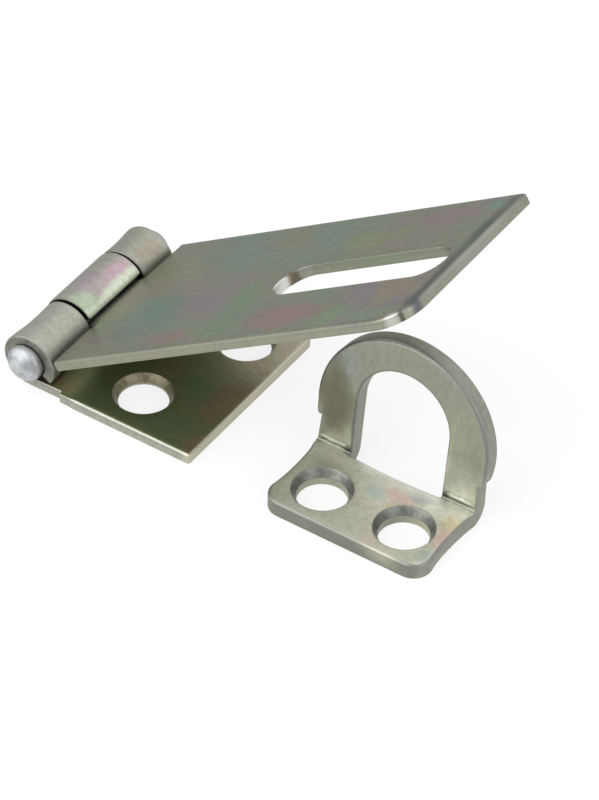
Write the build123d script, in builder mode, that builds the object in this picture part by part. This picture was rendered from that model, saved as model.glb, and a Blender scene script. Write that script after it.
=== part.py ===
from build123d import *
import math
import os

# Security latch: a hinged hasp and the staple that its slotted leaf closes over.
# Millimetres. The origin is on the mounting plane, midway between the hinge leaf's
# screws. X runs away from the hinge, Y along its pin and Z off the surface.

# Sheet stock
hinge_sheet = 1.4
hasp_sheet = 1.35
staple_sheet = 2.1

# Hinge pin and knuckles
pin_radius = 2.15
bore_radius = 2.2
knuckle_radius = bore_radius + hinge_sheet
pin_height = knuckle_radius
near_knuckle = (-12.5, -4.6)
middle_knuckle = (-4.25, 6.0)
far_knuckle = (6.3, 11.85)
knuckle_waist = 3.38
knuckle_gap_round = 0.35
knuckle_tail_angle = 34
pin_stand_out = 0.9
pin_dome = 0.95

# Hinge leaf: lengths are from the pin's axis, screws from the middle of the two
hinge_leaf_reach = 23.1
hinge_leaf_width = 26.0
hinge_leaf_shoulder = 4.7
knuckle_notch = 4.2
hinge_leaf_corner = 1.5
screws_from_pin = 14.9
hinge_screws = [(-2.275, -7.225), (2.275, 7.225)]

# Hasp leaf: measured from the pin's axis, along the leaf and square to it
open_angle = 33
hasp_heel = 4.05
hasp_reach = 60.1
hasp_near_side = -12.75
hasp_far_side = 13.3
hasp_underside = -1.6
hasp_tail_angle = 2
crank_radius = 1.9
near_corner = 4.5
far_corner = 0.8
slot_start = 31.7
slot_length = 26.0
slot_width = 6.1
slot_side = -0.4

# Staple: the loop is measured from the inside crease, up its front face
staple_from_pin = slot_start + slot_length / 2
staple_crease = -2.7
staple_depth = 11.65
staple_half_width = 11.2
staple_corner = 2.3
side_waist = 10.5
neck_half_width = 10.85
neck_under_shoulder = 10.6
loop_lean = 7.6
loop_radius = 11.45
loop_centre = 6.35
loop_shoulder = 3.5
shoulder_round = 0.4
eye_radius = 6.15
eye_centre = 7.65
back_edge_bow = 0.3
staple_screw_pitch = 11.1
staple_screw_setback = 6.75

# Countersunk screw holes, and the edges that stamping rolls over
screw_radius = 3.0
countersink_radius = 3.6
countersink_angle = 60
edge_roll = 0.3

pin_x = -screws_from_pin
pin_centre = Vector(pin_x, 0, pin_height)
pin_axis = Axis(pin_centre, (0, 1, 0))
under_pin = Plane((pin_x, 0, 0))
along_pin = Plane((pin_x, 0, 0), x_dir=(0, 1, 0), z_dir=(1, 0, 0))


def knuckle_wall(gap_y, end_y):
    """Section of an outer knuckle's wall under the pin: it flares from the gap to the end."""
    bore_z = pin_height - bore_radius
    waist_z = pin_height - knuckle_waist
    with BuildSketch(along_pin) as wall:
        with BuildLine():
            Polyline((gap_y, waist_z), (gap_y, bore_z), (end_y, bore_z), (end_y, 0))
            ThreePointArc(
                (end_y, 0),
                (gap_y + 0.5 * (end_y - gap_y), waist_z),
                (gap_y, waist_z),
            )
        make_face()
        fillet(wall.vertices().sort_by(Axis.Y)[1], knuckle_gap_round)
    return wall.sketch


# Hinge leaf: a plate, and two strips that run under the pin and roll up over it
with BuildPart() as hinge_leaf:
    with BuildSketch(under_pin) as plate:
        with Locations((hinge_leaf_shoulder, 0)):
            Rectangle(
                hinge_leaf_reach - hinge_leaf_shoulder,
                hinge_leaf_width,
                align=(Align.MIN, Align.CENTER),
            )
        far_end_corner = plate.vertices().group_by(Axis.X)[-1].sort_by(Axis.Y)[-1]
        fillet(far_end_corner, hinge_leaf_corner)
    extrude(amount=hinge_sheet)
    rolled = hinge_leaf.faces().sort_by(Axis.Z)[-1].edges().sort_by(Axis.X)[1:]
    fillet(rolled, edge_roll)
    with BuildSketch(under_pin):
        for near_y, far_y in (near_knuckle, far_knuckle):
            with Locations((0, near_y)):
                Rectangle(hinge_leaf_shoulder + edge_roll, far_y - near_y, align=(Align.MIN, Align.MIN))
        with Locations((knuckle_notch, near_knuckle[1])):
            Rectangle(
                hinge_leaf_shoulder - knuckle_notch + edge_roll,
                far_knuckle[0] - near_knuckle[1],
                align=(Align.MIN, Align.MIN),
            )
    extrude(amount=hinge_sheet)
    for gap_y, end_y in ((near_knuckle[1], near_knuckle[0]), far_knuckle):
        revolve(knuckle_wall(gap_y, end_y), axis=pin_axis, revolution_arc=270 + knuckle_tail_angle)
    with Locations([(x, y, hinge_sheet) for x, y in hinge_screws]):
        CounterSinkHole(screw_radius, countersink_radius, counter_sink_angle=countersink_angle)

# Hinge pin: one rod, peened to a low dome at both ends
with BuildPart() as hinge_pin:
    shank_start = near_knuckle[0] - pin_stand_out
    shank_end = far_knuckle[1] + pin_stand_out
    dome_radius = (pin_radius**2 + pin_dome**2) / (2 * pin_dome)
    dome_turn = math.degrees(math.asin(pin_radius / dome_radius))
    with BuildSketch(along_pin):
        with BuildLine():
            CenterArc((shank_start - pin_dome + dome_radius, pin_height), dome_radius, 180, -dome_turn)
            Line((shank_start, pin_height + pin_radius), (shank_end, pin_height + pin_radius))
            CenterArc((shank_end + pin_dome - dome_radius, pin_height), dome_radius, dome_turn, -dome_turn)
            Line((shank_end + pin_dome, pin_height), (shank_start - pin_dome, pin_height))
        make_face()
    revolve(axis=pin_axis)

# Hasp leaf: the slotted sheet, raised to its open angle, whose heel is cranked down
# in a reverse bend and then rolled round the pin as the middle knuckle
open_radians = math.radians(open_angle)
leaf_along = Vector(math.cos(open_radians), 0, math.sin(open_radians))
leaf_up = Vector(-math.sin(open_radians), 0, math.cos(open_radians))
leaf_plane = Plane(pin_centre + leaf_up * hasp_underside, x_dir=leaf_along, z_dir=leaf_up)
curl_plane = Plane(
    pin_centre + Vector(0, middle_knuckle[1], 0), x_dir=leaf_along, z_dir=(0, -1, 0)
)
hasp_top = hasp_underside + hasp_sheet
curl_radius = bore_radius + hasp_sheet
crank_centre_height = hasp_underside + hasp_sheet / 2 - crank_radius
centre_distance = bore_radius + hasp_sheet / 2 + crank_radius
crank_angle = math.degrees(math.acos(-crank_centre_height / centre_distance))
crank_centre = (centre_distance * math.sin(math.radians(crank_angle)), crank_centre_height)
curl_turn = 270 + crank_angle - hasp_tail_angle
tail_inside = Vector(bore_radius, 0, 0).rotate(Axis.Z, hasp_tail_angle)

with BuildPart() as hasp_leaf:
    with BuildSketch(leaf_plane) as outline:
        with Locations((hasp_heel, hasp_near_side)):
            Rectangle(
                hasp_reach - hasp_heel,
                hasp_far_side - hasp_near_side,
                align=(Align.MIN, Align.MIN),
            )
        near_end, far_end = outline.vertices().group_by(Axis.X)[-1].sort_by(Axis.Y)
        fillet(near_end, near_corner)
        fillet(far_end, far_corner)
        with Locations((staple_from_pin, slot_side)):
            SlotOverall(slot_length, slot_width, mode=Mode.SUBTRACT)
    extrude(amount=hasp_sheet)
    top_face = hasp_leaf.faces().sort_by(Axis((0, 0, 0), leaf_up))[-1]
    rim = top_face.outer_wire().edges().sort_by(Axis((0, 0, 0), leaf_along))[1:]
    fillet(rim, edge_roll)
    with BuildSketch(curl_plane):
        with BuildLine():
            CenterArc((0, 0), bore_radius, hasp_tail_angle, curl_turn)
            CenterArc(crank_centre, crank_radius + hasp_sheet / 2, 90 + crank_angle, -crank_angle)
            Polyline(
                (crank_centre[0], hasp_top),
                (hasp_heel, hasp_top),
                (hasp_heel, hasp_underside),
                (crank_centre[0], hasp_underside),
            )
            CenterArc(crank_centre, crank_radius - hasp_sheet / 2, 90, crank_angle)
            CenterArc((0, 0), curl_radius, hasp_tail_angle + curl_turn, -curl_turn)
            PolarLine(tail_inside, hasp_sheet, hasp_tail_angle)
        make_face()
    extrude(amount=middle_knuckle[1] - middle_knuckle[0])

# Staple: a base plate whose two legs bend up from its back edge into one loop
staple_middle = pin_x + staple_from_pin
base_plane = Plane((staple_middle, staple_crease, 0))
lean = math.radians(loop_lean)
crease = Vector(staple_middle, staple_crease, staple_sheet)
loop_plane = Plane(crease, x_dir=(1, 0, 0), z_dir=(0, -math.cos(lean), math.sin(lean)))
bend_plane = Plane(crease, x_dir=(1, 0, 0), z_dir=(0, -1, 0))

with BuildPart() as staple:
    with BuildSketch(base_plane) as base:
        with BuildLine():
            ThreePointArc((-eye_radius, 0), (0, -back_edge_bow), (eye_radius, 0))
            Line((eye_radius, 0), (neck_half_width, 0))
            ThreePointArc(
                (neck_half_width, 0), (side_waist, -staple_depth / 2), (staple_half_width, -staple_depth)
            )
            Line((staple_half_width, -staple_depth), (-staple_half_width, -staple_depth))
            ThreePointArc(
                (-staple_half_width, -staple_depth), (-side_waist, -staple_depth / 2), (-neck_half_width, 0)
            )
            Line((-neck_half_width, 0), (-eye_radius, 0))
        make_face()
        fillet(base.vertices().group_by(Axis.Y)[0], staple_corner)
    extrude(amount=staple_sheet)
    base_top = staple.faces().sort_by(Axis.Z)[-1]
    base_rim = base_top.edges().sort_by(Axis.Y)[:5]
    fillet(base_rim, edge_roll)
    with BuildSketch(bend_plane) as legs:
        leg_width = neck_half_width - eye_radius
        for side in (-1, 1):
            with Locations((side * (eye_radius + leg_width / 2), -staple_sheet / 2)):
                Rectangle(leg_width, staple_sheet)
        leg_tops = legs.vertices().group_by(Axis.Y)[-1].sort_by(Axis.X)
        fillet([leg_tops[0], leg_tops[-1]], edge_roll)
    revolve(axis=Axis(crease, (1, 0, 0)), revolution_arc=90 - loop_lean)
    with BuildSketch(loop_plane) as loop:
        with Locations((0, loop_centre)):
            Circle(loop_radius)
        with Locations((0, loop_shoulder)):
            Rectangle(3 * loop_radius, loop_radius, align=(Align.CENTER, Align.MAX), mode=Mode.SUBTRACT)
        with BuildLine():
            Polyline(
                (-neck_half_width, 0),
                (neck_half_width, 0),
                (neck_under_shoulder, loop_shoulder),
                (-neck_under_shoulder, loop_shoulder),
                close=True,
            )
        make_face()
        shoulders = loop.vertices().group_by(Axis.Y)[1].sort_by(Axis.X)
        fillet([shoulders[0], shoulders[-1]], shoulder_round)
        with Locations((0, eye_centre)):
            Circle(eye_radius, mode=Mode.SUBTRACT)
        Rectangle(2 * eye_radius, eye_centre, align=(Align.CENTER, Align.MIN), mode=Mode.SUBTRACT)
    extrude(amount=-staple_sheet)
    with Locations([
        (staple_middle + side * staple_screw_pitch / 2, staple_crease - staple_screw_setback, staple_sheet)
        for side in (-1, 1)
    ]):
        CounterSinkHole(screw_radius, countersink_radius, counter_sink_angle=countersink_angle)

hinge_leaf.part.label = "hinge_leaf"
hinge_pin.part.label = "hinge_pin"
hasp_leaf.part.label = "hasp_leaf"
staple.part.label = "staple"

os.makedirs("parts", exist_ok=True)
export_step(hinge_leaf.part, "parts/hinge_leaf.step")
export_step(hinge_pin.part, "parts/hinge_pin.step")
export_step(hasp_leaf.part, "parts/hasp_leaf.step")
export_step(staple.part, "parts/staple.step")
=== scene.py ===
import math
import bmesh
import bpy
import numpy as np
from mathutils import Matrix, Vector
from mathutils.geometry import delaunay_2d_cdt


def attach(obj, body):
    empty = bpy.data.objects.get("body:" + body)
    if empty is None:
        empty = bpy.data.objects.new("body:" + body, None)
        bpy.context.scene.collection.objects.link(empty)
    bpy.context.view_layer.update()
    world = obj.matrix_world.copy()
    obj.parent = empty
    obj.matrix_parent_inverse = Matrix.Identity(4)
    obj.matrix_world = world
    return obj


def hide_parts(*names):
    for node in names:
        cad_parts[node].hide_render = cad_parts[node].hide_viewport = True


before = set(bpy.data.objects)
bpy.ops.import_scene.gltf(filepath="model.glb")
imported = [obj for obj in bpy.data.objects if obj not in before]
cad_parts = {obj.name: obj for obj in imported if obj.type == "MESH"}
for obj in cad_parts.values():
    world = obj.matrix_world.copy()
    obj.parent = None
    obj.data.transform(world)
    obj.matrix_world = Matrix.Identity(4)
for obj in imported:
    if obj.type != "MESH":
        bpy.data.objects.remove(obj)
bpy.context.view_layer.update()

# Lengths are in millimetres until a mesh is made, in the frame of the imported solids
MM = 0.001

# Pin and knuckles
PIN_X = -14.9
PIN_Z = 3.6
PIN_RADIUS = 2.15
BORE = 2.2
NEAR_KNUCKLE = (-12.5, -4.6)
MIDDLE_KNUCKLE = (-4.25, 6.0)
FAR_KNUCKLE = (11.85, 6.3)
WAIST = 0.26

# Hinge leaf
HINGE_SHEET = 1.4
HINGE_ROLL_TURN = math.radians(304)
HINGE_REACH = 23.1
HINGE_HALF = 13.0
SHOULDER = 4.7
NOTCH = 4.2
HINGE_SCREWS = ((12.625, -7.225), (17.175, 7.225))

# Hasp leaf
HASP_SHEET = 1.35
OPEN = math.radians(33)
UNDERSIDE = -1.6
CRANK = 1.9
TAIL = math.radians(2)
HEEL = 4.05
HASP_REACH = 60.1
HASP_NEAR, HASP_FAR = -12.75, 13.3
SLOT = (31.7, 57.7, -0.4, 3.05)

# Staple
STAPLE_X = 29.8
STAPLE_SHEET = 2.1
CREASE = -2.7
STAPLE_DEPTH = 11.65
INSIDE_BEND = 0.15
LEAN = math.radians(7.6)
LOOP = (6.35, 11.45)
EYE = (7.65, 6.15)
SHOULDER_HEIGHT = 3.5
STAPLE_SCREWS = (5.55, -6.75)
FRONT_HALF = 11.2
CREASE_HALF = 10.85
NECK_HALF = 10.6

# Countersunk holes
SCREW = 3.0
SINK = 0.6
SINK_DEPTH = 1.04


def unit(v):
    return v / np.linalg.norm(v)


def ease(low, high, x):
    """0 below low and 1 above high, with a smooth climb between."""
    t = np.clip((x - low) / (high - low), 0, 1)
    return t * t * (3 - 2 * t)


def rounded(corners, inset=0.0, pitch=0.25):
    """A closed outline with the sheet on its left, moved into the sheet by inset.

    Each corner is (x, y, radius), and the number of points is the same at any inset."""
    at = np.array([c[:2] for c in corners], float)
    count = len(at)
    along = [unit(at[(i + 1) % count] - at[i]) for i in range(count)]
    runs = []
    for i, (x, y, radius) in enumerate(corners):
        before, after = along[i - 1], along[i]
        left_before = np.array((-before[1], before[0]))
        left_after = np.array((-after[1], after[0]))
        corner = at[i] + inset * (left_before + left_after) / (1 + left_before @ left_after)
        if radius == 0:
            runs.append([corner])
            continue
        turn = math.atan2(before[0] * after[1] - before[1] * after[0], before @ after)
        bent = max(radius - inset * np.sign(turn), 0.01)
        start = corner - before * bent * math.tan(abs(turn) / 2)
        middle = start + left_before * bent * np.sign(turn)
        spoke = start - middle
        steps = max(3, round(abs(turn) / math.radians(10)))
        arc = []
        for k in range(steps + 1):
            c, s = math.cos(turn * k / steps), math.sin(turn * k / steps)
            turned = (c * spoke[0] - s * spoke[1], s * spoke[0] + c * spoke[1])
            arc.append(middle + np.array(turned))
        runs.append(arc)
    points = []
    for i, run in enumerate(runs):
        points += run
        start, end = run[-1], runs[(i + 1) % count][0]
        length = np.linalg.norm(at[(i + 1) % count] - at[i])
        pieces = max(1, round((length - corners[i][2] - corners[(i + 1) % count][2]) / pitch))
        points += [start + (end - start) * k / pieces for k in range(1, pieces)]
    return np.array(points)


def circle(x, y, radius, inset=0.0, steps=64):
    """A round hole's edge, run clockwise so that the sheet is on its left."""
    turn = -2 * math.pi * np.arange(steps) / steps
    reach = radius + inset
    return np.stack([x + reach * np.cos(turn), y + reach * np.sin(turn)], 1)


def arc_corners(x, y, radius, start, end, steps):
    """Smooth corners along an arc, in degrees."""
    turns = np.radians(np.linspace(start, end, steps + 1))
    return [(x + radius * math.cos(t), y + radius * math.sin(t), 0) for t in turns]


def bowed(start, end, bow, steps=12):
    """Smooth corners between two points along a shallow bow to the left."""
    start, end = np.array(start), np.array(end)
    left = unit(end - start) @ np.array(((0, 1), (-1, 0)))
    return [
        (*(start + (end - start) * k / steps + left * bow * 4 * k / steps * (1 - k / steps)), 0)
        for k in range(1, steps)
    ]


# The shape of a stamped edge, as shares of how far in and how deep the roll goes
ROLL = (
    (0, 1), (0.02, 0.82), (0.06, 0.63), (0.13, 0.45),
    (0.25, 0.29), (0.43, 0.16), (0.68, 0.06), (1, 0),
)


def stamped(thickness, roll, drop, burr=0.05):
    """Rings of a stamped edge from the underside to the top: (inset, height, edge mark)."""
    under = [(burr, 0, 0.5), (0.3 * burr, 0.3 * burr, 0.8), (0, burr, 1)]
    wall = [(0, burr + (thickness - drop - burr) * k / 4, 1) for k in (1, 2, 3)]
    return under + wall + [
        (roll * u, thickness - drop * d, 1 if u == 0 else 0.75 * (1 - u) ** 3) for u, d in ROLL
    ]


def countersunk(thickness):
    """Rings of a screw hole: a straight land below a cone."""
    land = thickness - SINK_DEPTH
    return [
        (0.05, 0, 0.5), (0, 0.05, 1), (0, 0.5 * land, 1), (0, land - 0.03, 1), (0.005, land, 2),
        (0.04, land + 0.05, 2), (SINK * 0.5, thickness - SINK_DEPTH * 0.5, 2),
        (SINK - 0.04, thickness - 0.07, 2), (SINK, thickness - 0.025, 1.6),
        (SINK + 0.06, thickness - 0.005, 0.6), (SINK + 0.16, thickness, 0),
    ]


def rings(outline, profile, other=None, share=None):
    """Each ring's points, heights and marks. Where share is 1 the other profile is used."""
    made = []
    for k, (inset, height, mark) in enumerate(profile):
        points = outline(inset)
        heights, marks = np.full(len(points), float(height)), np.full(len(points), float(mark))
        if other:
            part = share(outline(0))
            points = points + (outline(other[k][0]) - points) * part[:, None]
            heights += (other[k][1] - heights) * part
            marks += (other[k][2] - marks) * part
        made.append((points, heights, marks))
    return made


def inside(points, loops):
    """True where a point is in the sheet: inside the outer loop and in no hole."""
    held = np.zeros(len(points), bool)
    for loop in loops:
        for (x1, y1), (x2, y2) in zip(loop, np.roll(loop, -1, 0)):
            if y1 == y2:
                continue
            crosses = (y1 > points[:, 1]) != (y2 > points[:, 1])
            held ^= crosses & (points[:, 0] < x1 + (points[:, 1] - y1) * (x2 - x1) / (y2 - y1))
    return held


def filled(loops, grid, clear=0.13):
    """The grid's points that lie clear of the loops, and triangles over loops and grid."""
    edge = np.concatenate(loops)
    grid = grid[inside(grid, loops)]
    near = np.array([np.min(np.sum((edge - g) ** 2, 1)) for g in grid])
    grid = grid[near > clear ** 2]
    points = np.concatenate([edge, grid])
    lines, first = [], 0
    for loop in loops:
        lines += [(first + k, first + (k + 1) % len(loop)) for k in range(len(loop))]
        first += len(loop)
    within_outer_loop = 1
    made = delaunay_2d_cdt([Vector(p) for p in points], lines, [], within_outer_loop, 1e-7)
    source = [came[0] for came in made[3]]
    faces = np.array([[source[k] for k in face] for face in made[2]])
    owner = [np.full(len(loop), k) for k, loop in enumerate(loops)]
    owner = np.concatenate(owner + [np.full(len(grid), -1)])
    first, second, third = owner[faces].T
    faces = faces[(first < 1) | (first != second) | (first != third)]
    p, q, r = (points[faces[:, k]] for k in range(3))
    turned = (q[:, 0] - p[:, 0]) * (r[:, 1] - p[:, 1]) < (q[:, 1] - p[:, 1]) * (r[:, 0] - p[:, 0])
    faces[turned] = faces[turned][:, ::-1]
    return grid, faces


def grid_points(*zones):
    """Grid points over zones, each (x from, x to, x step, y from, y to, y step)."""
    made = []
    for x0, x1, dx, y0, y1, dy in zones:
        xs, ys = np.arange(x0, x1, dx), np.arange(y0, y1, dy)
        made.append(np.stack(np.meshgrid(xs, ys), -1).reshape(-1, 2))
    return np.concatenate(made)


def sheet_piece(
    name, node, body, finish, thickness, contours, grid, bend, curl_start=None, sharp=35,
):
    """Builds a stamped sheet flat, from the rings of its contours, and bends it to shape."""
    flat, marks, faces, total = [], [], [], 0
    tops, unders = [], []
    for contour in contours:
        ids = []
        for points, heights, edge in contour:
            flat.append(np.column_stack([points, heights]))
            marks.append(edge)
            ids.append(np.arange(total, total + len(points)))
            total += len(points)
        for low, high in zip(ids, ids[1:]):
            n = len(low)
            faces += [(low[k], low[(k + 1) % n], high[(k + 1) % n], high[k]) for k in range(n)]
        unders.append((contour[0][0], ids[0]))
        tops.append((contour[-1][0], ids[-1]))
    for found, height, order in ((tops, thickness, (0, 1, 2)), (unders, 0.0, (2, 1, 0))):
        extra, triangles = filled([loop for loop, _ in found], grid)
        numbers = np.concatenate([ids for _, ids in found] + [np.arange(total, total + len(extra))])
        flat.append(np.column_stack([extra, np.full(len(extra), height)]))
        marks.append(np.zeros(len(extra)))
        total += len(extra)
        faces += [tuple(numbers[t[k]] for k in order) for t in triangles]
    flat = np.concatenate(flat)
    mesh = bpy.data.meshes.new(name)
    mesh.from_pydata((bend(flat) * MM).tolist(), [], [[int(v) for v in f] for f in faces])
    rolled = np.zeros(len(flat))
    if curl_start is not None:
        rolled = 1 - ease(curl_start - 2.0, curl_start, flat[:, 0])
    for label, values in (
        ("edge", np.concatenate(marks)), ("depth", flat[:, 2] / thickness), ("rolled", rolled),
        ("along", flat[:, 0]), ("across", flat[:, 1]),
    ):
        mesh.attributes.new(label, "FLOAT", "POINT").data.foreach_set("value", values)
    return placed(name, mesh, node, body, finish, sharp)


def placed(name, mesh, node, body, finish, sharp):
    """Closes and smooths a mesh, and puts it in the place of its solid."""
    work = bmesh.new()
    work.from_mesh(mesh)
    bmesh.ops.remove_doubles(work, verts=work.verts, dist=0.0004 * MM)
    bmesh.ops.recalc_face_normals(work, faces=work.faces)
    work.to_mesh(mesh)
    work.free()
    mesh.shade_smooth()
    mesh.set_sharp_from_angle(angle=math.radians(sharp))
    mesh.materials.append(finish)
    piece = bpy.data.objects.new(name, mesh)
    bpy.context.scene.collection.objects.link(piece)
    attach(piece, body)
    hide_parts(node)
    return piece


class Wire:
    """A shader socket that Python arithmetic works on."""

    def __init__(self, graph, socket):
        self.graph, self.socket = graph, socket

    def math(self, operation, *others):
        inputs = dict(enumerate((self, *others)))
        return self.graph.add("ShaderNodeMath", {"operation": operation}, inputs)

    def __add__(self, other):
        return self.math("ADD", other)

    def __mul__(self, other):
        return self.math("MULTIPLY", other)

    def __sub__(self, other):
        return self.math("SUBTRACT", other)

    def __rsub__(self, other):
        return (self * -1.0).math("ADD", other)

    __radd__ = __add__
    __rmul__ = __mul__

    def between(self, low, high):
        """0 below low and 1 above high, smoothly."""
        settings = {"interpolation_type": "SMOOTHSTEP"}
        return self.graph.add("ShaderNodeMapRange", settings, {0: self, 1: low, 2: high})


class Graph:
    """A node tree that is filled by plain calls."""

    def __init__(self, tree):
        self.tree = tree

    def add(self, kind, settings, inputs, out=0):
        """Adds a node: its settings first, then the values or links of its sockets."""
        node = self.tree.nodes.new(kind)
        for key, value in settings.items():
            if key == "stops":
                ramp = node.color_ramp
                while len(ramp.elements) < len(value):
                    ramp.elements.new(0.5)
                for stop, (at, colour) in zip(ramp.elements, value):
                    stop.position, stop.color = at, (*colour, 1)
            else:
                setattr(node, key, value)
        for key, value in inputs.items():
            if isinstance(value, Wire):
                self.tree.links.new(value.socket, node.inputs[key])
            elif value is not None:
                node.inputs[key].default_value = value
        return Wire(self, node.outputs[out])

    def place(self, offset=(0, 0, 0), turn=(0, 0, 0), scale=(1, 1, 1)):
        """The piece's own coordinates, moved, turned and scaled."""
        own = self.add("ShaderNodeTexCoord", {}, {}, "Object")
        turned = tuple(math.radians(t) for t in turn)
        return self.add("ShaderNodeMapping", {}, {
            "Vector": own, "Location": offset, "Rotation": turned, "Scale": scale,
        })

    def noise(self, where, scale, detail=2.0, rough=0.5, twist=0.0):
        return self.add("ShaderNodeTexNoise", {}, {
            "Vector": where, "Scale": scale,
            "Detail": detail, "Roughness": rough, "Distortion": twist,
        })

    def blend(self, share, first, second, mode="MIX"):
        """A mix of two colours."""
        return self.add("ShaderNodeMix", {"data_type": "RGBA", "blend_type": mode}, {
            0: share,
            6: first if isinstance(first, Wire) else (*first, 1),
            7: second if isinstance(second, Wire) else (*second, 1),
        }, 2)

    def dot(self, where, direction):
        """How far a place or a direction lies along another."""
        inputs = {0: where, 1: direction}
        return self.add("ShaderNodeVectorMath", {"operation": "DOT_PRODUCT"}, inputs, "Value")

    def attribute(self, name):
        return self.add("ShaderNodeAttribute", {"attribute_name": name}, {}, "Fac")

    def stained_and_lit(self, colour, stains_and_light, share=1.0):
        """Soft ragged patches of tint and of painted light and shade, given as in the lists below.
        """
        along, across = self.attribute("along"), self.attribute("across")
        ragged = (self.noise(self.place(), 105.0, 3.0, 0.55, 0.8) - 0.5) * 2.6
        push = (self.noise(self.place((0.02, 0.05, 0.01)), 130.0, 2.0, 0.5, 0.5) - 0.5) * 2.4
        pull = (self.noise(self.place((0.07, 0.01, 0.04)), 130.0, 2.0, 0.5, 0.5) - 0.5) * 2.4
        for x, y, length, width, strength, stain in stains_and_light:
            u, v = (along - x) * (1 / length) + push, (across - y) * (1 / width) + pull
            mask = (u * u + v * v + ragged).between(1.8, -0.3)
            colour = self.blend(mask * share * strength, colour, stain)
        return colour


class Finish(Graph):
    """A material built from nodes."""

    def __init__(self, name):
        self.material = bpy.data.materials.new(name)
        self.material.use_nodes = True
        super().__init__(self.material.node_tree)
        self.surface = self.tree.nodes["Principled BSDF"]

    def wear(self, **sockets):
        """Sets the surface's own sockets to values or links."""
        for key, value in sockets.items():
            socket = self.surface.inputs[key.replace("_", " ").title()]
            if isinstance(value, Wire):
                self.tree.links.new(value.socket, socket)
            else:
                socket.default_value = value


# Tints of the passivation film, from the thinnest film to the thickest
LEAF_TINTS = (
    (0.30, (0.232, 0.292, 0.268)),
    (0.40, (0.228, 0.282, 0.213)),
    (0.47, (0.266, 0.277, 0.205)),
    (0.54, (0.288, 0.258, 0.224)),
    (0.60, (0.266, 0.243, 0.262)),
    (0.69, (0.234, 0.270, 0.243)),
)
OLIVE_TINTS = (
    (0.30, (0.215, 0.235, 0.150)),
    (0.41, (0.245, 0.250, 0.120)),
    (0.47, (0.185, 0.245, 0.115)),
    (0.54, (0.285, 0.225, 0.115)),
    (0.60, (0.300, 0.190, 0.150)),
    (0.70, (0.190, 0.215, 0.120)),
)
STAPLE_TINTS = (
    (0.30, (0.290, 0.320, 0.290)),
    (0.42, (0.310, 0.323, 0.255)),
    (0.50, (0.317, 0.326, 0.265)),
    (0.57, (0.330, 0.316, 0.255)),
    (0.63, (0.345, 0.308, 0.270)),
    (0.70, (0.290, 0.318, 0.300)),
)
BROWN_CONE = ((0.16, 0.145, 0.09), (0.27, 0.25, 0.165))
GREY_CONE = ((0.155, 0.16, 0.15), (0.225, 0.23, 0.205))

# Tints and painted light and shade: (along, across, half length, half width, share, colour)
LEAF_STAINS_AND_SHADE = (
    (13.0, -5.4, 5.5, 4.5, 0.8, (0.185, 0.275, 0.225)),
    (22.0, -2.4, 4.5, 4.0, 0.7, (0.265, 0.240, 0.260)),
    (29.0, -5.5, 2.6, 5.5, 0.9, (0.195, 0.30, 0.195)),
    (20.5, -10.3, 4.5, 1.5, 0.8, (0.33, 0.225, 0.20)),
    (38.0, -9.3, 5.4, 2.4, 0.9, (0.335, 0.22, 0.205)),
    (47.5, -10.4, 3.2, 1.9, 0.9, (0.235, 0.335, 0.205)),
    (53.5, -6.8, 4.2, 2.8, 0.8, (0.34, 0.295, 0.19)),
    (55.0, -10.9, 3.8, 1.4, 0.9, (0.25, 0.36, 0.215)),
    (48.5, -6.3, 3.0, 2.2, 0.8, (0.30, 0.245, 0.30)),
    (40.5, 7.0, 4.2, 2.2, 0.8, (0.28, 0.32, 0.165)),
    (49.5, 9.8, 6.0, 2.2, 0.9, (0.31, 0.235, 0.265)),
    (57.4, 11.5, 2.0, 1.7, 0.9, (0.19, 0.33, 0.28)),
    (9.0, 7.2, 6.0, 4.0, 0.6, (0.275, 0.29, 0.20)),
    # Painted shade: a dark band along the leaf's end, where the rolled edge would reflect the dark
    # room
    (59.6, 0.2, 1.5, 20.0, 1.0, (0.09, 0.115, 0.105)),
)
# A painted shadow: the dark line under the middle knuckle's tail, on the top of the leaf only
LEAF_TOP_SHADOW = (
    (2.6, 0.9, 1.0, 6.5, 1.0, (0.02, 0.02, 0.015)),
)
# Marks on the sheared walls of the slot and of the near corner at the leaf's end, and painted light
LEAF_WALL_MARKS_AND_LIGHT = (
    # Painted light: the end wall, which faces the light, made lighter
    (60.3, 3.0, 1.2, 10.5, 0.9, (0.36, 0.355, 0.30)),
    (30.0, -12.9, 40.0, 1.0, 0.5, (0.31, 0.31, 0.225)),
    (46.0, 2.9, 10.0, 1.0, 0.7, (0.235, 0.285, 0.195)),
    # A worn bright crescent at the slot's heel end, which is also a painted highlight
    (31.7, -1.0, 0.7, 1.7, 1.0, (0.80, 0.81, 0.77)),
    (32.3, 1.3, 0.7, 0.7, 1.0, (0.14, 0.12, 0.08)),
    # Painted shade at the slot's far end
    (57.6, 0.4, 1.5, 1.6, 0.8, (0.10, 0.105, 0.09)),
    # Painted reflections on the rounded corner's wall: a bright spot and dark patches
    (58.0, -12.1, 0.9, 0.9, 0.9, (0.56, 0.57, 0.51)),
    (58.9, -11.3, 0.3, 0.35, 0.9, (0.07, 0.07, 0.05)),
    (60.0, -9.4, 0.8, 0.8, 0.9, (0.09, 0.105, 0.125)),
)
MIDDLE_KNUCKLE_STAINS_AND_HIGHLIGHT = (
    (-12.6, 3.2, 1.1, 3.6, 0.9, (0.56, 0.40, 0.46)),
    (-10.9, -0.5, 1.4, 2.4, 0.7, (0.42, 0.345, 0.39)),
    (-12.1, -3.2, 1.5, 1.7, 0.9, (0.46, 0.56, 0.40)),
    # A painted highlight: the pale band along the tail's edge
    (-13.8, 0.5, 0.8, 7.5, 1.0, (0.72, 0.80, 0.64)),
)
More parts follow.
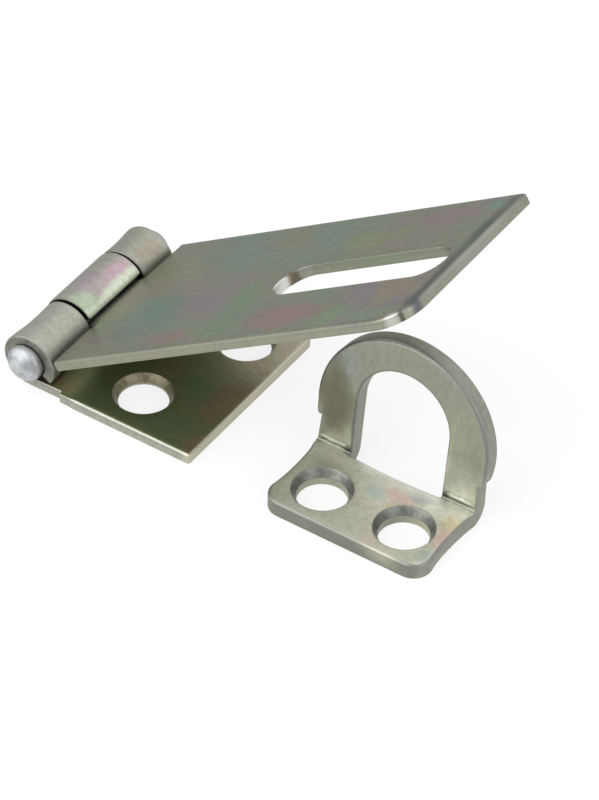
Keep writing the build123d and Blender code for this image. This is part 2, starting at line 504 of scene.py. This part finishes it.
HINGE_STAINS = (
    (21.3, -3.5, 1.9, 4.2, 0.6, (0.31, 0.195, 0.12)),
    (13.0, -1.5, 2.8, 1.8, 0.5, (0.29, 0.19, 0.12)),
    (17.3, -2.0, 2.0, 3.4, 0.7, (0.16, 0.27, 0.11)),
    (20.6, 8.2, 3.6, 5.6, 0.8, (0.41, 0.37, 0.285)),
    (19.3, 2.6, 3.4, 3.6, 0.6, (0.37, 0.32, 0.22)),
    (8.0, -9.5, 3.2, 1.8, 0.6, (0.20, 0.28, 0.12)),
)
# Painted light: the hinge leaf's end wall, which faces the light, made lighter
HINGE_END_WALL_LIGHT = (
    (23.3, 0.0, 1.0, 25.0, 1.0, (0.54, 0.515, 0.41)),
)
FAR_KNUCKLE_STAINS = (
    (-9.0, 9.2, 5.0, 3.6, 0.7, (0.34, 0.345, 0.285)),
    (-11.0, 9.4, 1.0, 2.3, 0.7, (0.42, 0.34, 0.26)),
)
STAPLE_STAINS_AND_LIGHT = (
    # Painted light: the bright middle of the base, and bright zones on the base beside the creases
    (1.0, -3.2, 4.5, 2.6, 0.7, (0.86, 0.84, 0.72)),
    (-8.4, -1.3, 3.0, 1.3, 0.9, (0.98, 0.96, 0.84)),
    (8.6, -1.5, 3.2, 1.5, 0.9, (0.98, 0.97, 0.86)),
    (8.7, 5.2, 2.2, 3.4, 0.9, (0.47, 0.48, 0.405)),
    (2.3, -2.5, 2.2, 1.3, 0.9, (0.84, 0.55, 0.51)),
    (-0.6, -3.3, 1.8, 1.2, 0.8, (0.54, 0.70, 0.63)),
    (3.1, -4.5, 1.8, 1.2, 0.8, (0.70, 0.60, 0.33)),
    (4.3, -1.5, 1.5, 0.8, 0.7, (0.38, 0.46, 0.50)),
    (9.9, -3.4, 1.3, 1.6, 0.8, (0.80, 0.70, 0.45)),
    (10.2, -6.0, 1.1, 1.6, 0.8, (0.76, 0.52, 0.48)),
    (10.0, -8.9, 1.1, 1.4, 0.7, (0.50, 0.60, 0.54)),
    # A painted highlight: the bright band on the base in front of the crease
    (0.0, -0.6, 15.0, 0.9, 0.8, (0.82, 0.82, 0.71)),
    (-8.9, 5.8, 2.6, 6.0, 1.0, (0.165, 0.16, 0.11)),
    # Painted shade: the dark line along the crease, and black spots at its inner ends
    (0.0, 1.95, 14.0, 0.42, 0.9, (0.06, 0.06, 0.045)),
    (-6.6, 1.9, 0.7, 0.8, 1.0, (0.012, 0.012, 0.010)),
    (6.6, 1.9, 0.7, 0.8, 1.0, (0.012, 0.012, 0.010)),
)
STAPLE_WALL_TONES_AND_SHADE = (
    # Painted shade: the base's front wall made darker. The lands of the screw holes are lighter
    (0.0, -11.7, 40.0, 0.9, 0.9, (0.205, 0.215, 0.18)),
    (-5.55, -6.6, 4.0, 4.0, 0.9, (0.50, 0.49, 0.37)),
    (5.55, -6.6, 4.0, 4.0, 0.9, (0.50, 0.49, 0.37)),
)
# The sheared wall as cut and as torn, and the marks where it is rubbed
PLAIN_WALL = ((0.27, 0.275, 0.235), (0.32, 0.315, 0.255))
BLUE_WALL = ((0.30, 0.31, 0.275), (0.35, 0.35, 0.295))
PALE_WALL = ((0.38, 0.385, 0.34), (0.43, 0.42, 0.35))
RUBBED = (0.20, 0.20, 0.16)

# The outside of the knuckles, the near knuckle's end and the painted shade in the gaps between them
KNUCKLE_TINTS = ((0.385, 0.39, 0.325), (0.41, 0.42, 0.36))
END_TINTS = ((0.15, 0.155, 0.135), (0.24, 0.245, 0.205))
GAP_SHADE = (0.012, 0.012, 0.010)

# Fine marks all over the film
PALE_SPECK = (0.52, 0.53, 0.48)
DARK_STREAK = (0.10, 0.105, 0.09)


def passivated(
    name, offset, turn, drawn, grain, tints, cone_tints, wall_tints, rim_tint, rim_share,
    stains_and_light, rolled_stains_and_light=(), wall_stains_and_light=(), top_shadow=(), base_painted_light=None,
):
    """Yellow-passivated zinc: a thin film whose tint wanders, over rolled and sheared steel.

    The tint is drawn out along the piece, and the grain is the fine rolling marks. The rim is
    where the edge rolls over; where its tint is dark it is painted shade, and the hinge leaf's
    light rim is worn bare zinc. The base lift is painted light that brightens the staple's base,
    in front of its crease."""
    film = Finish(name)
    where = film.place(offset, turn)
    wide = film.place(offset, turn, drawn)
    cloud = film.noise(wide, 62.0, 3.0, 0.5, 1.2)
    drift = film.noise(wide, 26.0, 2.0, 0.5, 0.6)
    tint = film.add("ShaderNodeValToRGB", {"stops": tints}, {0: cloud * 0.65 + drift * 0.35})
    rolled, depth, edge, across = (film.attribute(a) for a in ("rolled", "depth", "edge", "across"))
    # Painted light: the staple's base brightened in front of its crease
    if base_painted_light:
        tint = film.blend(across.between(0.5, -0.7), tint, base_painted_light, "MULTIPLY")
    shade = film.noise(where, 70.0, 5.0, 0.62).between(0.3, 0.72)
    outside = rolled * depth.between(0.6, 0.3)
    colour = film.stained_and_lit(tint, stains_and_light, 1.0 - rolled)
    # Painted shadow, on the top of the leaf only
    colour = film.stained_and_lit(colour, top_shadow, depth.between(0.4, 0.6) * (1.0 - rolled))
    knuckle = film.noise(wide, 90.0, 2.0, 0.5, 0.5).between(0.35, 0.65)
    pale = film.blend(knuckle, *KNUCKLE_TINTS)
    colour = film.blend(outside, colour, film.stained_and_lit(pale, rolled_stains_and_light))
    roll = edge.between(0.02, 0.35) * (1.0 - rolled) * depth.between(0.999, 0.985)
    # Painted shade: a dark rim tint darkens the rolled edge. The hinge leaf's light rim is worn
    # bare zinc
    colour = film.blend(roll * rim_share, colour, rim_tint)
    mottle = film.noise(where, 1900.0, 3.0, 0.7)
    for share, change in ((shade, 0.03), (mottle.between(0.3, 0.7), 0.07)):
        darker, lighter = (1.0 - change,) * 3, (1.0 + change,) * 3
        colour = film.blend(1.0, colour, film.blend(share, darker, lighter), "MULTIPLY")
    streak = film.noise(film.place(offset, turn, grain), 1400.0, 3.0, 0.6)
    speck = film.noise(where, 2600.0, 2.0, 0.6)
    colour = film.blend(speck.between(0.66, 0.78) * 0.4, colour, PALE_SPECK)
    colour = film.blend(streak.between(0.35, 0.65) * 0.12, colour, DARK_STREAK)
    wall = edge.math("MINIMUM", 1.0)
    cone = (edge - 1.0).math("MAXIMUM", 0.0)
    torn = depth.between(0.62, 0.45)
    rub = film.noise(film.place(offset, turn, (1.0, 1.0, 0.7)), 1500.0, 4.0, 0.65)
    sheared = film.blend(torn, *wall_tints)
    sheared = film.blend(rub.between(0.34, 0.66) * 0.35, sheared, RUBBED)
    near_end = rolled * across.between(NEAR_KNUCKLE[0] + 0.4, NEAR_KNUCKLE[0] + 0.1)
    rolling = film.noise(film.place(offset, (0, 0, 0), (1.0, 0.2, 1.0)), 700.0, 3.0, 0.6)
    sheared = film.blend(near_end, sheared, film.blend(rolling.between(0.35, 0.65), *END_TINTS))
    # Painted shade: the walls in the gaps between the knuckles are near black
    between_knuckles = across.between(-6.4, -5.6) * across.between(8.4, 7.6)
    sheared = film.blend(rolled * between_knuckles, sheared, GAP_SHADE)
    turned = film.blend(rub.between(0.34, 0.68), *cone_tints)
    colour = film.blend(wall, colour, sheared)
    colour = film.stained_and_lit(colour, wall_stains_and_light, edge.between(0.0, 0.3))
    colour = film.blend(cone, colour, turned)
    rough = 0.30 + streak * 0.10 + shade * 0.05 + roll * 0.06 + torn * wall * 0.12
    height = streak * 0.4 + speck * 0.5 + mottle * 0.5 + wall * rub * 1.2
    bump = film.add("ShaderNodeBump", {}, {"Strength": 0.3, "Distance": 0.00004, "Height": height})
    film.wear(base_color=colour, metallic=0.88, roughness=rough, normal=bump)
    return film.material


def hammered(name):
    """The pin's bright steel, with the soft marks of the tool that spread its ends."""
    steel = Finish(name)
    where = steel.place((0.0007, 0.0, 0.0003))
    cloud = steel.noise(where, 380.0, 2.0, 0.5, 0.6)
    fine = steel.noise(where, 3200.0, 2.0, 0.6)
    colour = steel.blend(cloud.between(0.36, 0.66), (0.34, 0.35, 0.36), (0.58, 0.60, 0.61))
    colour = steel.blend(fine.between(0.66, 0.78) * 0.4, colour, (0.7, 0.7, 0.7))
    height = cloud + fine * 0.1
    bump = steel.add("ShaderNodeBump", {}, {"Strength": 0.35, "Distance": 0.0001, "Height": height})
    steel.wear(base_color=colour, metallic=0.9, roughness=0.40 + fine * 0.1, normal=bump)
    return steel.material


# Hinge leaf: the two outer knuckles roll up from under the pin
def hinge_outline(inset=0.0):
    tail = -(BORE + HINGE_SHEET / 2) * HINGE_ROLL_TURN
    return rounded([
        (tail, NEAR_KNUCKLE[0], 0.25),
        (SHOULDER, NEAR_KNUCKLE[0], 0.12),
        (SHOULDER, -HINGE_HALF, 0.12),
        (HINGE_REACH, -HINGE_HALF, 0.35),
        (HINGE_REACH, HINGE_HALF, 1.5),
        (SHOULDER, HINGE_HALF, 0.3),
        (SHOULDER, FAR_KNUCKLE[0], 0.2),
        (tail, FAR_KNUCKLE[0], 0.25),
        (tail, FAR_KNUCKLE[1], 0.25),
        (NOTCH, FAR_KNUCKLE[1], 0.5),
        (NOTCH, NEAR_KNUCKLE[1], 0.5),
        (tail, NEAR_KNUCKLE[1], 0.25),
    ], inset)


def hinge_bend(flat):
    """Rolls the strips round the pin. The top of the plate becomes the knuckles' bore."""
    x, y, n = flat.T
    middle = BORE + HINGE_SHEET / 2
    turn = np.clip(-x / middle, 0, None)
    waist = np.zeros_like(x)
    for (end, gap), depth in ((NEAR_KNUCKLE, WAIST), (FAR_KNUCKLE, 0.6 * WAIST)):
        along = (y - gap) / (end - gap)
        dip = depth * (1 - ease(0.45, 1.0, along)) * (0.75 + 0.25 * ease(0, 0.3, along))
        waist += np.where((along > -0.01) & (along < 1.01), dip, 0)
    waist *= ease(0.0, 1.2, turn)
    reach = middle + HINGE_SHEET / 2 - n - waist * (1 - n / HINGE_SHEET)
    angle = -math.pi / 2 - turn
    return np.column_stack([
        PIN_X + np.where(x < 0, reach * np.cos(angle), x),
        y,
        np.where(x < 0, PIN_Z + reach * np.sin(angle), n),
    ])


def in_hinge_roll(points):
    return 1 - ease(SHOULDER + 0.8, SHOULDER + 2.5, points[:, 0])


hinge_contours = [rings(
    hinge_outline,
    stamped(HINGE_SHEET, 0.55, 0.32),
    [(0.30, 0, 0), (0.09, 0.06, 0.3)] + stamped(HINGE_SHEET, 0.12, 0.10, 0.2)[2:],
    in_hinge_roll,
)]
hinge_contours += [
    rings(lambda inset, x=x, y=y: circle(x, y, SCREW, inset), countersunk(HINGE_SHEET))
    for x, y in HINGE_SCREWS
]
sheet_piece(
    "short_leaf", "hinge_leaf", "fixed",
    passivated(
        "film_hinge_leaf", offset=(0.013, 0.004, 0.0), turn=(0, 0, 25),
        drawn=(0.6, 1.0, 1.0), grain=(0.25, 1.0, 1.0),
        tints=OLIVE_TINTS, cone_tints=BROWN_CONE, wall_tints=PALE_WALL,
        rim_tint=(0.52, 0.53, 0.50), rim_share=0.8,
        stains_and_light=HINGE_STAINS, rolled_stains_and_light=FAR_KNUCKLE_STAINS, wall_stains_and_light=HINGE_END_WALL_LIGHT,
    ),
    HINGE_SHEET, hinge_contours,
    grid_points((-15.4, 4.0, 0.22, -12.4, 12.0, 0.55), (4.2, 23.0, 0.9, -12.9, 13.0, 0.9)),
    hinge_bend, 0.0,
)


# Hasp leaf: cranked down at its heel, then rolled round the pin
CRANK_HEIGHT = UNDERSIDE + HASP_SHEET / 2 - CRANK
CENTRES = BORE + HASP_SHEET / 2 + CRANK
CRANK_TURN = math.acos(-CRANK_HEIGHT / CENTRES)
CRANK_X = CENTRES * math.sin(CRANK_TURN)
CURL_TURN = 1.5 * math.pi + CRANK_TURN - TAIL


def hasp_outline(inset=0.0):
    tail = CRANK_X - CRANK * CRANK_TURN - (BORE + HASP_SHEET / 2) * CURL_TURN
    return rounded([
        (tail, MIDDLE_KNUCKLE[0], 0.25),
        (HEEL, MIDDLE_KNUCKLE[0], 0.3),
        (HEEL, HASP_NEAR, 0.3),
        (HASP_REACH, HASP_NEAR, 4.5),
        (HASP_REACH, HASP_FAR, 0.8),
        (HEEL, HASP_FAR, 0.3),
        (HEEL, MIDDLE_KNUCKLE[1], 0.3),
        (tail, MIDDLE_KNUCKLE[1], 0.25),
    ], inset)


def slot_outline(inset=0.0):
    start, end, side, half = SLOT
    heel_end = arc_corners(start + half, side, half, 270, 90, 40)
    far_end = arc_corners(end - half, side, half, 90, -90, 40)
    return rounded(heel_end + far_end, inset)


def hasp_bend(flat):
    """Bends the crank, rolls the middle knuckle round the pin and tilts the leaf open."""
    x, y, n = flat.T
    off = n - HASP_SHEET / 2
    middle = BORE + HASP_SHEET / 2
    gone = np.clip(CRANK_X - x, 0, None)
    crank = np.clip(gone / CRANK, 0, CRANK_TURN)
    curl = np.clip((gone - CRANK * CRANK_TURN) / middle, 0, None)
    angle = CRANK_TURN - math.pi / 2 - curl
    flat_part, curled = gone == 0, curl > 0
    curl_reach, crank_reach = middle - off, CRANK + off
    a = np.where(curled, curl_reach * np.cos(angle), CRANK_X - crank_reach * np.sin(crank))
    b = np.where(curled, curl_reach * np.sin(angle), CRANK_HEIGHT + crank_reach * np.cos(crank))
    a = np.where(flat_part, x, a)
    b = np.where(flat_part, UNDERSIDE + n, b)
    return np.column_stack([
        PIN_X + a * math.cos(OPEN) - b * math.sin(OPEN),
        y,
        PIN_Z + a * math.sin(OPEN) + b * math.cos(OPEN),
    ])


def in_hasp_roll(points):
    return 1 - ease(0.0, 3.4, points[:, 0])


hasp_contours = [
    rings(
        hasp_outline,
        stamped(HASP_SHEET, 1.1, 0.36),
        [(0.28, 0, 0), (0.08, 0.05, 0.3)] + stamped(HASP_SHEET, 0.12, 0.10, 0.2)[2:],
        in_hasp_roll,
    ),
    rings(slot_outline, stamped(HASP_SHEET, 0.32, 0.16)),
]
sheet_piece(
    "slotted_leaf", "hasp_leaf", "leaf",
    passivated(
        "film_hasp_leaf", offset=(0.031, 0.012, 0.02), turn=(0, 33, 14),
        drawn=(0.45, 1.0, 1.0), grain=(0.2, 1.0, 1.0),
        tints=LEAF_TINTS, cone_tints=BROWN_CONE, wall_tints=PLAIN_WALL,
        # Painted shade on the rolled edge
        rim_tint=(0.16, 0.165, 0.14), rim_share=0.7,
        stains_and_light=LEAF_STAINS_AND_SHADE, rolled_stains_and_light=MIDDLE_KNUCKLE_STAINS_AND_HIGHLIGHT, wall_stains_and_light=LEAF_WALL_MARKS_AND_LIGHT,
        top_shadow=LEAF_TOP_SHADOW,
    ),
    HASP_SHEET, hasp_contours,
    grid_points((-14.0, 4.2, 0.22, -4.1, 6.0, 0.55), (4.3, 60.0, 0.9, -12.6, 13.2, 0.9)),
    hasp_bend, 2.5,
)


# Staple: base and loop bent from one blank, measured from where the bend starts
BEND_TURN = math.pi / 2 - LEAN
BEND_RUN = INSIDE_BEND * math.tan(BEND_TURN / 2)
BEND_LENGTH = (INSIDE_BEND + STAPLE_SHEET / 2) * BEND_TURN


def up_loop(height):
    """Where a height up the loop, from the inside crease, lies on the blank."""
    return BEND_LENGTH + height - BEND_RUN


def staple_outline(inset=0.0):
    front, top = BEND_RUN - STAPLE_DEPTH, up_loop(SHOULDER_HEIGHT)
    centre, radius = LOOP
    turn = math.degrees(math.asin((SHOULDER_HEIGHT - centre) / radius))
    shoulder = radius * math.cos(math.radians(turn))
    right = [(CREASE_HALF, 0, 0), (NECK_HALF, top, 0.1), (shoulder, top, 0.28)]
    left = [(-x, y, corner) for x, y, corner in reversed(right)]
    return rounded(
        [(-FRONT_HALF, front, 2.3), (FRONT_HALF, front, 2.3)]
        + bowed((FRONT_HALF, front), (CREASE_HALF, 0), 0.5)[3:]
        + right
        + arc_corners(0, up_loop(centre), radius, turn + 2, 178 - turn, 140)
        + left
        + bowed((-CREASE_HALF, 0), (-FRONT_HALF, front), 0.5)[:-3],
        inset,
    )


def eye_outline(inset=0.0):
    centre, radius = EYE
    bottom = -0.03
    return rounded(
        [(-radius, bottom, 0.3)]
        + arc_corners(0, up_loop(centre), radius, 180, 0, 70)
        + [(radius, bottom, 0.3)]
        + bowed((radius, bottom), (-radius, bottom), 0.3),
        inset,
    )


def staple_bend(flat):
    """Bends the loop up, with a raised and grooved line along the crease and a nicked corner."""
    x, s, n = flat.T
    on_leg = ease(EYE[1] + 0.1, EYE[1] + 0.7, np.abs(x)) * (1 - ease(10.0, 10.8, np.abs(x)))
    above = s - BEND_LENGTH
    wander = 0.05 * np.sin(2.3 * x) + 0.03 * np.sin(5.1 * x + 1.0)
    raised = np.exp(-((above - 0.42 - wander) / 0.17) ** 2)
    grooved = np.exp(-((above - 0.82 - wander) / 0.13) ** 2)
    bead = 0.08 * raised - 0.08 * grooved
    swell = 0.10 * ease(-0.9, -0.15, s) * (s < 0) - 0.07 * np.exp(-((above - 0.05) / 0.1) ** 2)
    from_nick = (s - BEND_RUN + STAPLE_DEPTH - 0.75) / 0.22
    nick = 0.22 * np.exp(-((x - 10.15) / 0.28) ** 2 - from_nick ** 2)
    under = STAPLE_SHEET - n - ((bead + swell) * on_leg - nick) * (n / STAPLE_SHEET) ** 4
    turn = np.clip(s / BEND_LENGTH, 0, 1) * BEND_TURN
    reach = INSIDE_BEND + under
    up = s - BEND_LENGTH + BEND_RUN
    y = np.where(s < 0, s, reach * np.sin(turn)) - BEND_RUN
    z = np.where(s < 0, -under, INSIDE_BEND - reach * np.cos(turn))
    y = np.where(s > BEND_LENGTH, up * math.sin(LEAN) + under * math.cos(LEAN), y)
    z = np.where(s > BEND_LENGTH, up * math.cos(LEAN) - under * math.sin(LEAN), z)
    return np.column_stack([STAPLE_X + x, CREASE + y, STAPLE_SHEET + z])


def on_neck(points):
    top = up_loop(SHOULDER_HEIGHT)
    return ease(-1.6, -0.6, points[:, 1]) * (1 - ease(top + 0.5, top + 1.8, points[:, 1]))


staple_contours = [
    rings(
        staple_outline,
        stamped(STAPLE_SHEET, 0.65, 0.38),
        stamped(STAPLE_SHEET, 0.14, 0.12),
        on_neck,
    ),
    rings(eye_outline, stamped(STAPLE_SHEET, 0.45, 0.26)),
]
staple_contours += [
    rings(
        lambda inset, x=x: circle(x, STAPLE_SCREWS[1] + BEND_RUN, SCREW, inset),
        countersunk(STAPLE_SHEET),
    )
    for x in (-STAPLE_SCREWS[0], STAPLE_SCREWS[0])
]
sheet_piece(
    "loop_staple", "staple", "fixed",
    passivated(
        "film_staple", offset=(0.002, 0.027, 0.006), turn=(0, 0, -20),
        drawn=(1.0, 1.0, 0.6), grain=(1.0, 1.0, 0.3),
        tints=STAPLE_TINTS, cone_tints=GREY_CONE, wall_tints=BLUE_WALL,
        # Painted shade on the rolled edge
        rim_tint=(0.125, 0.135, 0.14), rim_share=0.8,
        stains_and_light=STAPLE_STAINS_AND_LIGHT, wall_stains_and_light=STAPLE_WALL_TONES_AND_SHADE, base_painted_light=(2.25, 2.2, 2.25),
    ),
    STAPLE_SHEET, staple_contours,
    grid_points(
        (-10.9, 11.0, 0.7, -11.4, -1.2, 0.7),
        (-10.7, 10.8, 0.4, -1.0, 3.0, 0.09),
        (-11.3, 11.4, 0.7, 3.3, 20.0, 0.7),
    ),
    staple_bend,
)


# Pin: a rod whose ends are spread to low domes, a little off its middle
def pin_piece():
    dome = [
        (0.0, 0.0), (0.35, 0.02), (0.8, 0.08), (1.25, 0.19), (1.65, 0.35), (1.95, 0.54),
        (2.16, 0.76), (2.28, 1.0), (2.33, 1.25), (2.33, 1.55), (2.26, 1.70), (2.08, 1.76),
    ]
    bare = 1.85
    off_x, off_z = -0.14, 0.16
    neck = [(1.95, bare), (1.95, bare + 1.4), (PIN_RADIUS, bare + 1.6)]
    start, end = NEAR_KNUCKLE[0] - bare, FAR_KNUCKLE[0] + bare
    section = [(r, start + d) for r, d in dome + neck]
    section += [(r, end - d) for r, d in reversed(dome + neck)]
    steps = 72
    points, faces = [], []
    for r, y in section:
        spread = 1.0 if start + bare > y or y > end - bare else 0.0
        for k in range(steps):
            t = 2 * math.pi * k / steps
            x = PIN_X + off_x * spread + r * math.cos(t)
            z = PIN_Z + off_z * spread + r * math.sin(t)
            points.append((x * MM, y * MM, z * MM))
    for ring in range(len(section) - 1):
        for k in range(steps):
            a, b = ring * steps + k, ring * steps + (k + 1) % steps
            faces.append((a, b, b + steps, a + steps))
    mesh = bpy.data.meshes.new("rivet_pin")
    mesh.from_pydata(points, [], faces)
    return placed("rivet_pin", mesh, "hinge_pin", "fixed", hammered("hammered_steel"), 40)


pin_piece()


# Floor, world and lamps
def floor():
    """A pale floor that keeps the shadow. Metal sees it bright in front and, through a painted
    shadow that only glossy rays see, dimmer behind.
    """
    ground = Finish("pale_floor")
    ground.wear(base_color=(0.9, 0.9, 0.9, 1), roughness=0.9)
    ground.surface.inputs["Specular IOR Level"].default_value = 0.0
    seen, shiny, through = (
        ground.add("ShaderNodeLightPath", {}, {}, f"Is {ray} Ray")
        for ray in ("Camera", "Glossy", "Transmission")
    )
    # Painted shadow: glossy rays see the floor darker behind the object, where its shade falls
    behind = ground.dot(ground.place(), (-0.65, 0.76, 0.0))
    mirrored = ground.blend(behind.between(0.0, 0.025), (0.88,) * 3, (0.34,) * 3)
    glow = ground.blend(shiny, (1.0,) * 3, mirrored)
    white = ground.add("ShaderNodeEmission", {}, {"Color": glow})
    share = (seen + shiny + through).math("MINIMUM", 1.0) * 0.8
    plain = Wire(ground, ground.surface.outputs[0])
    surface = ground.add("ShaderNodeMixShader", {}, {0: share, 1: plain, 2: white})
    ground.tree.links.new(surface.socket, ground.tree.nodes["Material Output"].inputs[0])
    mesh = bpy.data.meshes.new("floor")
    side, low = 4.0, -0.00003
    corners = [(-side, -side, low), (side, -side, low), (side, side, low), (-side, side, low)]
    mesh.from_pydata(corners, [], [(0, 1, 2, 3)])
    mesh.materials.append(ground.material)
    plane = bpy.data.objects.new("floor", mesh)
    bpy.context.scene.collection.objects.link(plane)


def room():
    """A soft room, brighter high up behind and in front, and white to the camera."""
    world = bpy.data.worlds.new("soft_room")
    bpy.context.scene.world = world
    world.use_nodes = True
    air = Graph(world.node_tree)
    looks = air.add("ShaderNodeTexCoord", {}, {}, "Generated")
    behind = air.dot(looks, Vector((0.25, 0.62, 0.74)).normalized())
    front = air.dot(looks, Vector((-0.35, -0.65, 0.67)).normalized())
    lit = behind.between(0.4, 1.05) * 0.5 + front.between(0.55, 1.0) * 0.5 + 0.65
    seen = air.add("ShaderNodeLightPath", {}, {}, "Is Camera Ray")
    strength = lit + seen * (1.0 - lit)
    background = world.node_tree.nodes["Background"]
    background.inputs["Color"].default_value = (1, 1, 1, 1)
    air.tree.links.new(strength.socket, background.inputs["Strength"])


floor()
room()


def lamp(name, at, aim, size, power):
    data = bpy.data.lights.new(name, "AREA")
    data.shape, data.size, data.energy = "DISK", size, power
    made = bpy.data.objects.new(name, data)
    made.location = at
    made.rotation_euler = (Vector(aim) - Vector(at)).to_track_quat("-Z", "Y").to_euler()
    bpy.context.scene.collection.objects.link(made)


lamp("key_lamp", (-0.39, -0.62, 0.59), (0.0, 0.0, 0.01), 1.40, 9.0)
lamp("side_lamp", (0.60, -0.15, 0.30), (0.0, 0.0, 0.01), 0.42, 0.9)

# Camera at the photograph's angle
camera = bpy.data.objects.new("camera", bpy.data.cameras.new("camera"))
bpy.context.scene.collection.objects.link(camera)
camera.data.lens = 223.8
camera.data.sensor_width = 36.0
camera.data.clip_start, camera.data.clip_end = 0.01, 20.0
camera.matrix_world = Matrix((
    (0.82811, -0.38542, 0.40704, 0.248399),
    (0.56034, 0.54879, -0.62036, -0.356208),
    (0.01572, 0.74181, 0.67043, 0.388719),
    (0, 0, 0, 1),
))
bpy.context.scene.camera = camera
bpy.context.scene.view_settings.view_transform = "Standard"
